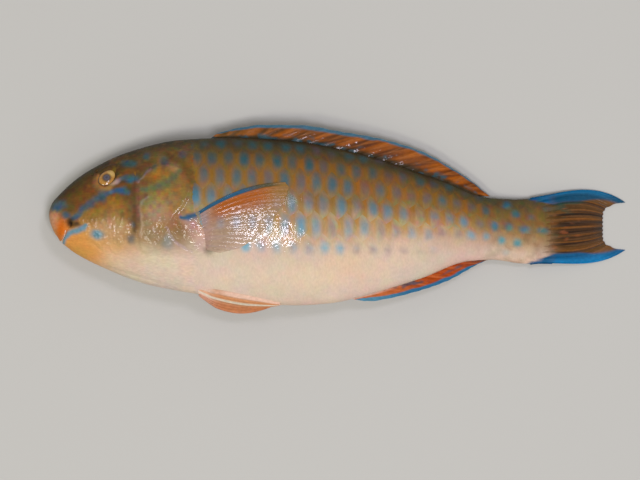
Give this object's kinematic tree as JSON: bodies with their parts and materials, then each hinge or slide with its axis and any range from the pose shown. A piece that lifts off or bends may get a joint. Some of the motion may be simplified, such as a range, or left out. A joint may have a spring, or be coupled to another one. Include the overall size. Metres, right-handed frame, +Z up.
{
  "type": "parrotfish",
  "caption": "Life-size parrotfish lying on its side as caught, with blunt beaked head, large scales, long low dorsal fin and forked tail fin; still display model.",
  "frame": {"origin": "on the floor, under the middle of the whole fish's box", "axes": "+X from the snout to the tail fin, +Y from the belly to the back, +Z up, which is the fish's left side"},
  "size_m": [0.42, 0.1374, 0.0627],
  "materials": {
    "head_skin": "wet fish skin, orange-brown with blue bands, glossy",
    "scaled_skin": "wet scaled fish skin, golden brown with blue spots, glossy",
    "lip": "wet, smooth lip skin, orange and blue",
    "beak": "polished bony tooth plate",
    "eye": "wet, clear-coated eye with a tan iris and a clouded pupil",
    "fin": "wet fin membrane with raised rays, orange-brown edged with blue"
  },
  "bodies": {
    "root": {"head": "head_skin", "lower_jaw": "head_skin", "upper_lip": "lip", "lower_lip": "lip", "upper_beak": "beak", "lower_beak": "beak", "eye_left": "eye", "eye_right": "eye", "gill_cover_left": "head_skin", "gill_cover_right": "head_skin", "torso": "scaled_skin", "tail": "scaled_skin", "tail_stalk": "scaled_skin", "dorsal_fin": "fin", "anal_fin": "fin", "caudal_fin": "fin", "pectoral_fin_left": "fin", "pectoral_fin_right": "fin", "pelvic_fin_left": "fin", "pelvic_fin_right": "fin"}
  },
  "joints": []
}
